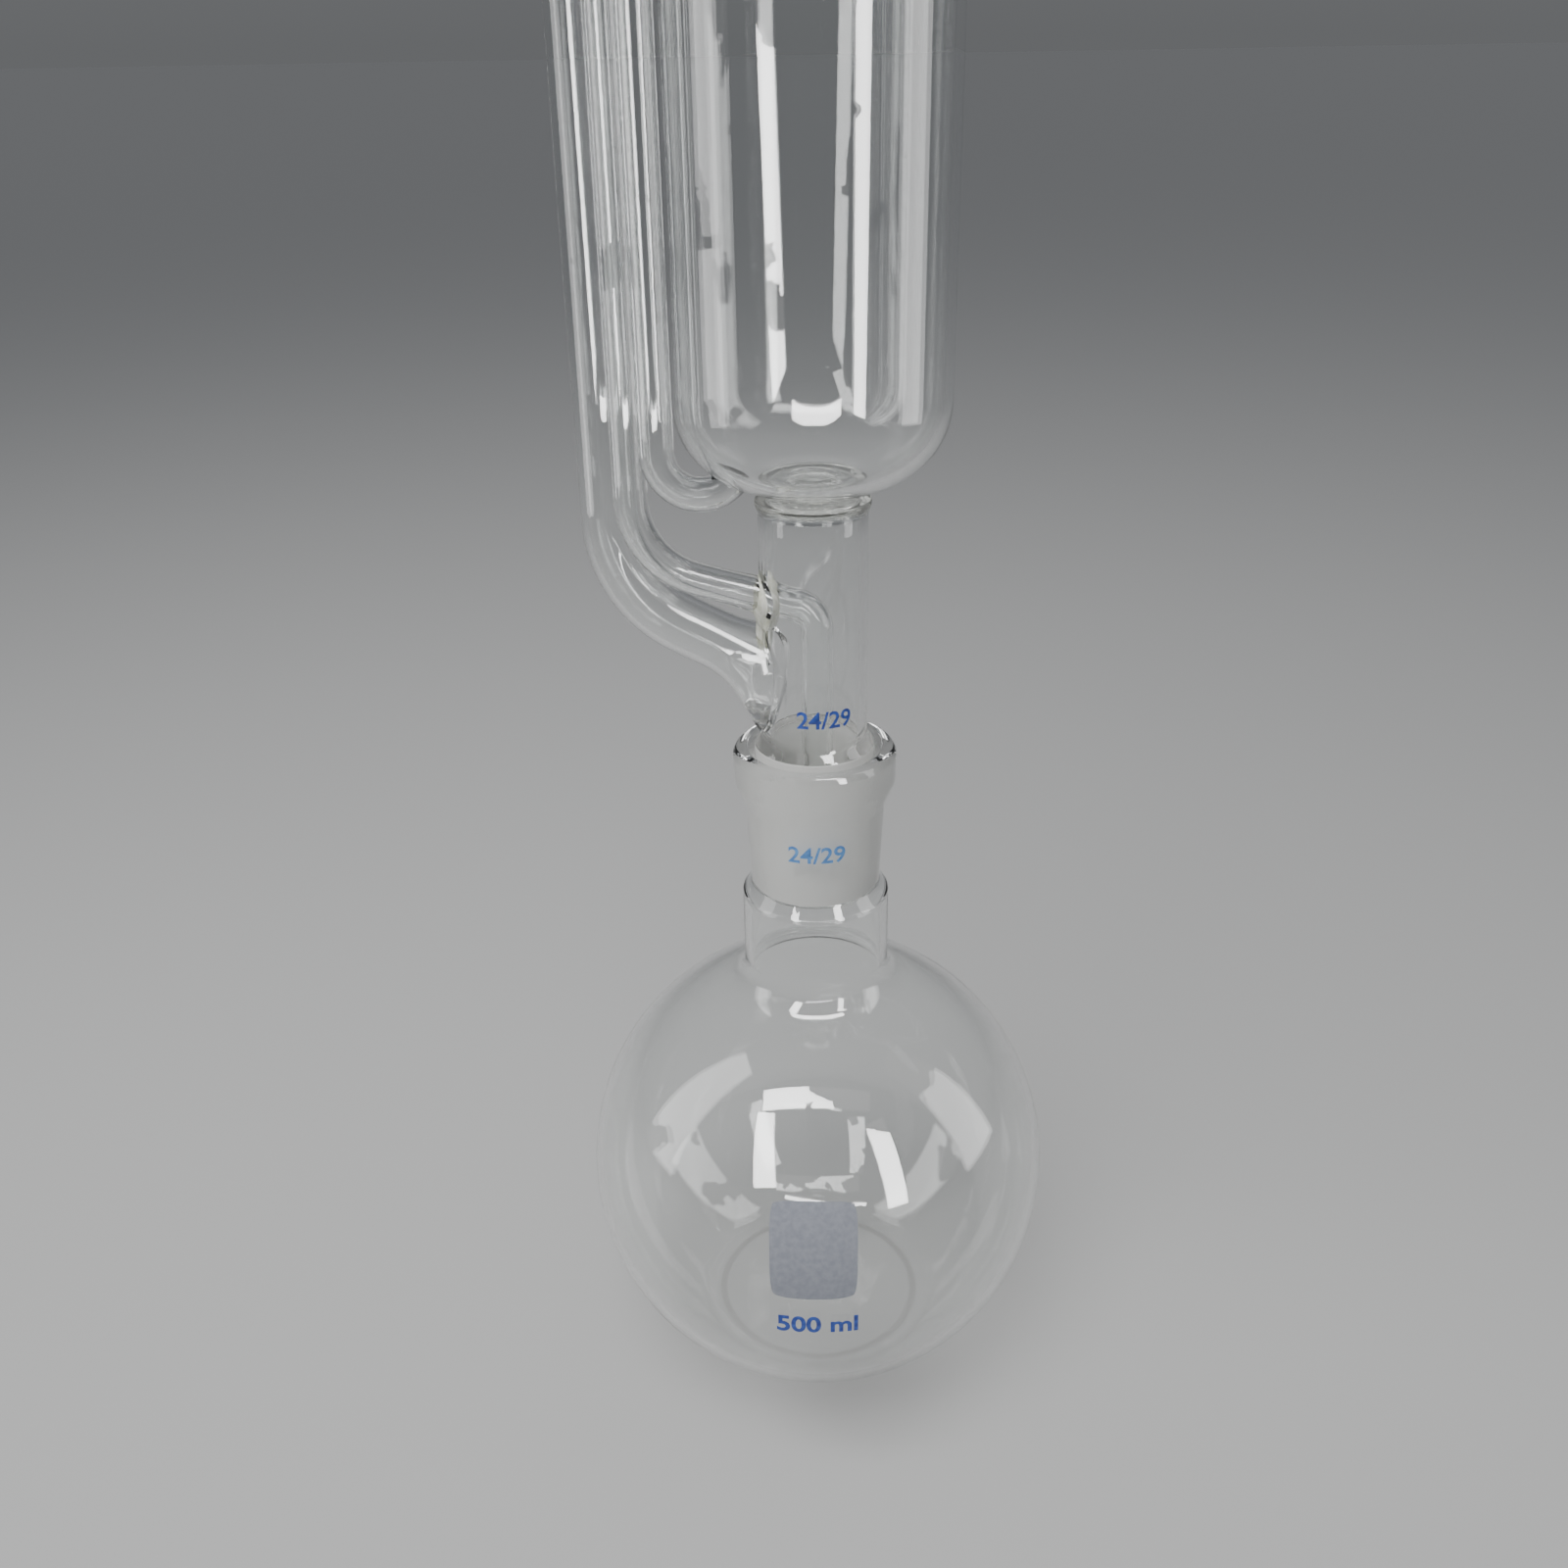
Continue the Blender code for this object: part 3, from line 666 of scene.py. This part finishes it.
drip_foot = Vector((drip_top.x, drip_top.y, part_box("drip_tube")[0].z))
crown_turn = (over_down - over_riser).length / 2 - 0.00005
turns = (0.0060, 0.0088, crown_turn, crown_turn, 0.0170, 0.0055)
places = [riser_start, riser_turn, riser_foot, over_riser, over_down, siphon_head, drip_top, drip_foot]
route = fill_in(bend_route(places, turns, step=8), 0.004)
outside = solid_tube("siphon_outside", route, SIPHON_RADIUS,
                     flared(route, ((riser_start, 1.6, 0.0070), (siphon_foot, 1.25, 0.0050))))
work(outside, lathe("chamber_hollow", dome(chamber_bore, DOME_HEIGHT - CHAMBER_WALL)
                    + [(0.0, CHAMBER_FLOOR + DOME_HEIGHT)], steps=96))
work(extractor, outside, "UNION")
work(extractor, knot("knot", as_vector(0.0093, DOWN_BEARING, SIPHON_ENTRY - 0.0012),
                     (0.0030, 0.0048, 0.0058), 0.7), "UNION")
work(extractor, knot("run", as_vector(0.0098, DOWN_BEARING, SIPHON_ENTRY - 0.0078),
                     (0.0016, 0.0022, 0.0058), 2.1), "UNION")
places[0] = riser_start + (riser_start - riser_turn).normalized() * 0.002
places[-1] = drip_foot - Vector((0, 0, 0.002))
route = fill_in(bend_route(places, turns, step=8), 0.004)
work(extractor, solid_tube("siphon_bore", route, SIPHON_RADIUS - SIPHON_WALL, [1.0] * len(route)))
finish_shading(extractor)
paint(extractor, GROUND_FACE, False, RIM - SMALL_LENGTH, RIM + 0.0006, 0.0095, 0.02)
paint(extractor, GROUND_FACE, True, WIDE_RIM - WIDE_LENGTH, WIDE_RIM - 0.0014, 0.019, WIDE_BORE + 0.0006)
paint(extractor, WORKED_FACE, False, SEAL_FOOT - 0.0002, CHAMBER_FLOOR, 0.0, SEAL_RADIUS + 0.0004)

# --- Condenser cone and inner tube ---------------------------------------------------------------
# The 45/40 cone is sealed round the straight inner tube, which runs down through it to an
# oblique tip, so that the condensate drips from one point.
SEAM = 0.00003            # what is left between two pieces at a fused seam
low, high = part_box("condenser_cone")
INNER_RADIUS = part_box("inner_tube")[1].x
INNER_WALL = 0.0013
COLLAR = 0.0020
cone_top = high.z
small = WIDE_BORE - TAPER * WIDE_LENGTH
foot = WIDE_RIM - WIDE_LENGTH - 0.0010
sleeve = INNER_RADIUS + SEAM
wide = WIDE_BORE - 0.00005
condenser_cone = lathe("condenser_cone_glass", soften([
    (small, foot + 0.0008, 0.0008), (wide, WIDE_RIM + 0.0008, 0.0014),
    (wide - 0.0030, WIDE_RIM + 0.0050, 0.0040), (sleeve + COLLAR, cone_top - 0.0045, 0.0030),
    (sleeve + COLLAR, cone_top, 0.0008), (sleeve, cone_top, 0.0), (sleeve, cone_top - 0.0060, 0.0010),
    (wide - COLLAR - 0.0026, WIDE_RIM + 0.0030, 0.0036), (wide - COLLAR, WIDE_RIM - 0.0020, 0.0020),
    (small - COLLAR, foot, 0.0006), (small - 0.0004, foot, 0.0006)], step=10))
dress(condenser_cone, "condenser", "ground_glass", [CLEAR, GROUND], "condenser_cone")
paint(condenser_cone, GROUND_FACE, False, WIDE_RIM - WIDE_LENGTH, WIDE_RIM + 0.0006, 0.015, 0.03)

low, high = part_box("inner_tube")
bore = INNER_RADIUS - INNER_WALL
inner_tube = lathe("inner_tube_glass", [
    (INNER_RADIUS, low.z), (INNER_RADIUS, high.z), (bore, high.z), (bore, low.z)], steps=72)
deselect_all()
bpy.ops.mesh.primitive_cube_add(size=0.03)
tip = bpy.context.object
tilt = Matrix.Rotation(math.radians(40), 4, "Y")
tip.data.transform(Matrix.Translation((0, 0, low.z + 0.006)) @ tilt @ Matrix.Translation((0, 0, -0.015)))
work(inner_tube, tip)
finish_shading(inner_tube)
dress(inner_tube, "condenser", "clear_glass", [CLEAR], "inner_tube")

# --- Water jacket and hose connectors ------------------------------------------------------------
# A wider tube round the inner one, drawn in and ring-sealed to it at both ends. Cooling water
# enters by the lower connector and leaves by the upper; both have ridges that grip a hose.
low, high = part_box("water_jacket")
JACKET_RADIUS = high.x
JACKET_WALL = 0.0016
end = JACKET_RADIUS * 0.62
inside = JACKET_RADIUS - JACKET_WALL


def jacket_end(reach, depth, centre_z, start, stop):
    """Elliptic shoulder from the inner tube out to the jacket's wall."""
    points = []
    for k in range(17):
        angle = math.radians(start + (stop - start) * k / 16)
        points.append((sleeve + (reach - sleeve) * math.cos(angle), centre_z + depth * math.sin(angle)))
    return points


jacket = lathe("water_jacket_glass",
               jacket_end(JACKET_RADIUS, end, low.z + end, -90, 0)
               + jacket_end(JACKET_RADIUS, end, high.z - end, 0, 90)
               + jacket_end(inside, end - JACKET_WALL, high.z - end, 90, 0)
               + jacket_end(inside, end - JACKET_WALL, low.z + end, 0, -90), steps=112)
HOSE_BORE = 0.0028
HOSE_RADIUS = 0.0042
HOSE_ROOT = JACKET_RADIUS - 0.003
RIDGE_START = 0.0125
RIDGE_SPACING = 0.0044
hose_heights = {}
for name in ("water_inlet", "water_outlet"):
    low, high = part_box(name)
    hose_heights[name] = (low.z + high.z) / 2
    port = Vector((JACKET_RADIUS, 0, hose_heights[name]))
    work(jacket, rod(name + "_port", port - Vector((0.004, 0, 0)), port + Vector((0.003, 0, 0)),
                     HOSE_BORE))
finish_shading(jacket)
dress(jacket, "condenser", "clear_glass", [CLEAR], "water_jacket")

for name, height in hose_heights.items():
    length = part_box(name)[1].x - HOSE_ROOT
    profile = [(HOSE_BORE, 0.0, 0.0), (HOSE_RADIUS + 0.0022, 0.0, 0.0),
               (HOSE_RADIUS + 0.0012, 0.0036, 0.0020), (HOSE_RADIUS, 0.0058, 0.0030)]
    for ridge in range(4):
        start = RIDGE_START + ridge * RIDGE_SPACING
        profile += [(HOSE_RADIUS - 0.0001, start, 0.0006), (HOSE_RADIUS + 0.0011, start + 0.0011, 0.0007)]
    profile += [(HOSE_RADIUS - 0.0004, length - 0.0030, 0.0010),
                (HOSE_RADIUS - 0.0006, length, 0.0008), (HOSE_BORE, length, 0.0006)]
    connector = lathe(name + "_glass", soften(profile), steps=48)
    connector.data.transform(Matrix.Translation((HOSE_ROOT, 0, height))
                             @ Matrix.Rotation(math.radians(90), 4, "Y"))
    work(connector, rod("jacket_wall", Vector((0, 0, height - 0.02)), Vector((0, 0, height + 0.02)),
                         JACKET_RADIUS + SEAM, 112))
    finish_shading(connector)
    dress(connector, "condenser", "clear_glass", [CLEAR], name)

# --- Top socket ----------------------------------------------------------------------------------
# The open end of the inner tube, widened to a 29/32 ground socket for a drying tube or stopper.
low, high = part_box("top_socket")
TOP_RIM = high.z - 0.0004
TOP_BORE = 0.0148
TOP_LENGTH = 0.0320
small = TOP_BORE - TAPER * TOP_LENGTH
bottom = TOP_RIM - TOP_LENGTH
top_socket = lathe("top_socket_glass", soften([
    (TOP_BORE, TOP_RIM - 0.0007, 0.0010), (TOP_BORE + 0.0012, TOP_RIM, 0.0008),
    (high.x - 0.0012, TOP_RIM, 0.0026), (high.x, TOP_RIM - 0.0037, 0.0040),
    (high.x - 0.0006, TOP_RIM - 0.0078, 0.0024), (TOP_BORE + 0.0020, TOP_RIM - 0.0100, 0.0020),
    (small + 0.0020, bottom + 0.0006, 0.0040), (INNER_RADIUS, low.z + 0.0006, 0.0030),
    (INNER_RADIUS, low.z - 0.0003 + SEAM, 0.0), (INNER_RADIUS - INNER_WALL, low.z - 0.0003 + SEAM, 0.0),
    (INNER_RADIUS - INNER_WALL, low.z + 0.0010, 0.0030), (small, bottom - 0.0004, 0.0030)], step=10))
dress(top_socket, "condenser", "ground_glass", [CLEAR, GROUND], "top_socket")
paint(top_socket, GROUND_FACE, True, bottom, TOP_RIM - 0.0014, 0.0, TOP_BORE + 0.0006)

# --- Printed marks -------------------------------------------------------------------------------
# Fired-on enamel: joint sizes and the capacity in blue, and a matt patch to write on in pencil.


def enamel(name, light, dark, transmission, roughness):
    """Fired enamel, mottled between two tones."""
    made = bpy.data.materials.new(name)
    made.use_nodes = True
    nodes, links = made.node_tree.nodes, made.node_tree.links
    shader = nodes["Principled BSDF"]
    shader.inputs["Metallic"].default_value = 0.0
    shader.inputs["Transmission Weight"].default_value = transmission
    place = nodes.new("ShaderNodeTexCoord")
    wear = nodes.new("ShaderNodeTexNoise")
    wear.inputs["Scale"].default_value = 900.0
    wear.inputs["Detail"].default_value = 4.0
    links.new(place.outputs["Object"], wear.inputs["Vector"])
    tone = nodes.new("ShaderNodeValToRGB")
    tone.color_ramp.elements[0].color = (*dark, 1.0)
    tone.color_ramp.elements[0].position = 0.35
    tone.color_ramp.elements[1].color = (*light, 1.0)
    tone.color_ramp.elements[1].position = 0.65
    links.new(wear.outputs["Fac"], tone.inputs["Fac"])
    links.new(tone.outputs["Color"], shader.inputs["Base Color"])
    rough = nodes.new("ShaderNodeMapRange")
    rough.inputs["To Min"].default_value = roughness - 0.1
    rough.inputs["To Max"].default_value = roughness + 0.1
    links.new(wear.outputs["Fac"], rough.inputs["Value"])
    links.new(rough.outputs["Result"], shader.inputs["Roughness"])
    return made


BLUE = enamel("blue_enamel", (0.16, 0.42, 0.86), (0.08, 0.28, 0.70), 0.0, 0.45)
DEEP_BLUE = enamel("deep_blue_enamel", (0.05, 0.13, 0.55), (0.02, 0.05, 0.32), 0.0, 0.50)
PATCH = enamel("writing_patch", (0.50, 0.52, 0.58), (0.40, 0.42, 0.49), 0.45, 0.60)
FILM = 0.00003            # how thick a print is, and how far it stands off the glass


def wrap(piece, surface):
    """Lay a flat piece, drawn in X and Y with its thickness in Z, on the glass."""
    for vertex in piece.data.vertices:
        vertex.co = surface(vertex.co.x, vertex.co.y, FILM + vertex.co.z)


def on_tube(radius_at, height, bearing=-90.0):
    """Where a flat print lands on an upright tube: its middle at a height and a bearing."""
    def surface(x, y, out):
        radius = radius_at(height + y)
        angle = math.radians(bearing) + x / radius
        return ((radius + out) * math.cos(angle), (radius + out) * math.sin(angle), height + y)
    return surface


def on_bulb(elevation, bearing=-90.0):
    """Where a flat print lands on the bulb: its middle at an elevation and a bearing."""
    def surface(x, y, out):
        rise = math.radians(elevation) + y / BULB_RADIUS
        angle = math.radians(bearing) + x / (BULB_RADIUS * math.cos(rise))
        reach = BULB_RADIUS + out
        return (reach * math.cos(rise) * math.cos(angle), reach * math.cos(rise) * math.sin(angle),
                BULB_Z + reach * math.sin(rise))
    return surface


def print_text(name, words, size, surface, body, ink=BLUE, weight=0.00008):
    """Print words in enamel, with strokes made bolder by the weight."""
    deselect_all()
    bpy.ops.object.text_add()
    piece = bpy.context.object
    piece.name = name
    piece.data.body = words
    piece.data.size = size
    piece.data.align_x = "CENTER"
    piece.data.align_y = "CENTER"
    piece.data.extrude = FILM / 2
    piece.data.offset = weight
    piece.data.resolution_u = 6
    bpy.ops.object.convert(target="MESH")
    piece = bpy.context.object
    bpy.ops.object.mode_set(mode="EDIT")
    bpy.ops.mesh.select_all(action="SELECT")
    bpy.ops.mesh.remove_doubles(threshold=0.000001)
    bpy.ops.object.mode_set(mode="OBJECT")
    wrap(piece, surface)
    finish_shading(piece)
    return dress(piece, body, "blue_print", [ink])


print_text("flask_joint_size", "24/29", 0.0052,
           on_tube(lambda z: SMALL_BORE + 0.0020 - TAPER * (RIM - z), RIM - 0.0190), "flask")
print_text("extractor_joint_size", "24/29", 0.0050,
           on_tube(lambda z: STEM_RADIUS, RIM + 0.0094, -80), "extractor", DEEP_BLUE)
print_text("chamber_joint_size", "45/40", 0.0052,
           on_tube(lambda z: CHAMBER_RADIUS, CHAMBER_TOP - 0.008), "extractor")
print_text("flask_capacity", "500 ml", 0.0062, on_bulb(-4.5, -91.5), "flask", DEEP_BLUE, 0.00016)


def writing_patch(name, width, height, surface):
    """A thin rectangle of matt enamel with rounded corners."""
    deselect_all()
    bpy.ops.mesh.primitive_grid_add(x_subdivisions=24, y_subdivisions=28, size=1.0)
    piece = bpy.context.object
    piece.name = piece.data.name = name
    for vertex in piece.data.vertices:
        x, y = vertex.co.x * 2, vertex.co.y * 2
        squeeze = 1.0 - 0.08 * (x * y) ** 4
        vertex.co = (x * width / 2 * squeeze, y * height / 2 * squeeze, 0.0)
    shell = piece.modifiers.new("film", "SOLIDIFY")
    shell.thickness = FILM
    bpy.ops.object.modifier_apply(modifier=shell.name)
    wrap(piece, surface)
    finish_shading(piece)
    return dress(piece, "flask", "blue_print", [PATCH])


writing_patch("writing_patch", 0.0180, 0.0215, on_bulb(15.5, -92.4))

# --- Floor and light -----------------------------------------------------------------------------
# A pale matt sheet under a round soft box. A square of four soft strips in front of the glass and
# a tall card at each side are reflected in it as bright streaks.
deselect_all()
bpy.ops.mesh.primitive_plane_add(size=60.0, location=(0, 0, 0))
floor = bpy.context.object
floor.name = "floor"
paper = bpy.data.materials.new("pale_sheet")
paper.use_nodes = True
paper.node_tree.nodes["Principled BSDF"].inputs["Base Color"].default_value = (0.46, 0.46, 0.455, 1.0)
paper.node_tree.nodes["Principled BSDF"].inputs["Roughness"].default_value = 0.9
floor.data.materials.append(paper)

world = bpy.data.worlds.new("studio")
bpy.context.scene.world = world
world.use_nodes = True
nodes, links = world.node_tree.nodes, world.node_tree.links
direction = nodes.new("ShaderNodeTexCoord")
height = nodes.new("ShaderNodeSeparateXYZ")
links.new(direction.outputs["Generated"], height.inputs["Vector"])
room = nodes.new("ShaderNodeValToRGB")
room.color_ramp.elements[0].color = (0.135, 0.139, 0.144, 1.0)
room.color_ramp.elements[0].position = 0.0
room.color_ramp.elements[1].color = (0.34, 0.35, 0.37, 1.0)
room.color_ramp.elements[1].position = 0.9
links.new(height.outputs["Z"], room.inputs["Fac"])
links.new(room.outputs["Color"], nodes["Background"].inputs["Color"])

data = bpy.data.lights.new("softbox", "AREA")
data.shape = "DISK"
data.size = 0.7
data.energy = 7.0
data.spread = math.radians(120)
softbox = bpy.data.objects.new("softbox", data)
softbox.matrix_world = (Matrix.Translation((-0.25, -0.35, 1.15))
                        @ Matrix.Rotation(math.radians(16), 4, "X")
                        @ Matrix.Rotation(math.radians(-12), 4, "Y"))
bpy.context.scene.collection.objects.link(softbox)
for ray in ("camera", "glossy", "transmission"):
    setattr(softbox, "visible_" + ray, False)

AIM = Vector((0.0, 0.0, 0.12))      # the place on the glass that every strip faces


def gleam(name, soft, sharp):
    """A lamp's face: strong in clean reflections, and gentle as a light."""
    made = bpy.data.materials.new(name)
    made.use_nodes = True
    nodes, links = made.node_tree.nodes, made.node_tree.links
    nodes.remove(nodes["Principled BSDF"])
    rays = nodes.new("ShaderNodeLightPath")
    strength = nodes.new("ShaderNodeMapRange")
    strength.inputs["To Min"].default_value = soft
    strength.inputs["To Max"].default_value = sharp
    links.new(rays.outputs["Is Singular Ray"], strength.inputs["Value"])
    glow = nodes.new("ShaderNodeEmission")
    links.new(strength.outputs["Result"], glow.inputs["Strength"])
    links.new(glow.outputs["Emission"], nodes["Material Output"].inputs["Surface"])
    return made


STRIP_LIGHT = gleam("strip_light", 1.0, 45.0)
SIDE_LIGHT = gleam("side_light", 0.5, 5.0)


def strip(name, start, end, width, light=STRIP_LIGHT):
    """A soft strip light from start to end, turned towards the glass."""
    deselect_all()
    bpy.ops.mesh.primitive_plane_add(size=1.0)
    lamp = bpy.context.object
    lamp.name = name
    middle = (start + end) / 2
    back = (middle - AIM).normalized()
    side = (end - start).normalized()
    back = (back - side * back.dot(side)).normalized()
    turn = Matrix((side, back.cross(side), back)).transposed().to_4x4()
    lamp.matrix_world = (Matrix.Translation(middle) @ turn
                         @ Matrix.Diagonal(((end - start).length, width, 1.0, 1.0)))
    lamp.data.materials.append(light)
    lamp.visible_camera = False
    lamp.visible_shadow = False


strip("strip_top", Vector((-0.200, -0.194, 0.42)), Vector((0.190, -0.209, 0.42)), 0.075)
strip("strip_left", Vector((-0.150, -0.305, 0.158)), Vector((-0.190, -0.235, 0.400)), 0.065)
strip("strip_right", Vector((0.300, -0.420, 0.100)), Vector((0.216, -0.284, 0.400)), 0.085)
strip("strip_bottom", Vector((-0.098, -0.331, 0.146)), Vector((0.148, -0.392, 0.130)), 0.010)
strip("side_left", Vector((-0.55, -0.05, 0.05)), Vector((-0.55, -0.05, 0.95)), 0.22, SIDE_LIGHT)
strip("side_right", Vector((0.55, -0.05, 0.05)), Vector((0.55, -0.05, 0.95)), 0.22, SIDE_LIGHT)

cycles = bpy.context.scene.cycles
cycles.max_bounces = 32
cycles.transmission_bounces = 32
cycles.glossy_bounces = 8
cycles.transparent_max_bounces = 32
